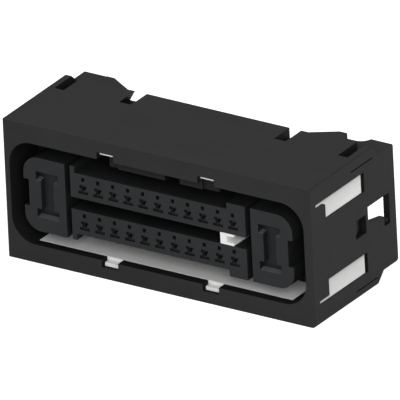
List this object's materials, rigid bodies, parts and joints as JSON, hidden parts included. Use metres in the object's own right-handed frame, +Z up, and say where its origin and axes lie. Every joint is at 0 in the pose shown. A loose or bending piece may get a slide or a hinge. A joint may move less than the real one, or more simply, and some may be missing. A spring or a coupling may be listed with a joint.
{
  "type": "connector socket",
  "caption": "Rectangular connector socket: black shell round a contact carrier with guide posts, white lock plates in its side windows and an open rear for the cable.",
  "frame": {"origin": "middle of the shell's outline on its bottom plate", "axes": "+X along the rows of contacts to the right as the mating face is seen, -Y out of the mating face, +Z up"},
  "size_m": [0.052, 0.022, 0.0215],
  "materials": {
    "shell_black": "satin moulded",
    "carrier_black": "satin moulded",
    "lock_white": "satin moulded",
    "contact_tin": "tin plated"
  },
  "bodies": {
    "root": {"outer_housing": "shell_black", "contact_carrier": "carrier_black", "upper_lock_plate": "lock_white", "lower_lock_plate": "lock_white", "coding_insert": "lock_white", "contact_a01": "contact_tin", "contact_a02": "contact_tin", "contact_a03": "contact_tin", "contact_a04": "contact_tin", "contact_a05": "contact_tin", "contact_a06": "contact_tin", "contact_a07": "contact_tin", "contact_a08": "contact_tin", "contact_a09": "contact_tin", "contact_a10": "contact_tin", "contact_a11": "contact_tin", "contact_b01": "contact_tin", "contact_b02": "contact_tin", "contact_b03": "contact_tin", "contact_b04": "contact_tin", "contact_b05": "contact_tin", "contact_b06": "contact_tin", "contact_b07": "contact_tin", "contact_b08": "contact_tin", "contact_b09": "contact_tin", "contact_b10": "contact_tin", "contact_b11": "contact_tin"}
  },
  "joints": []
}
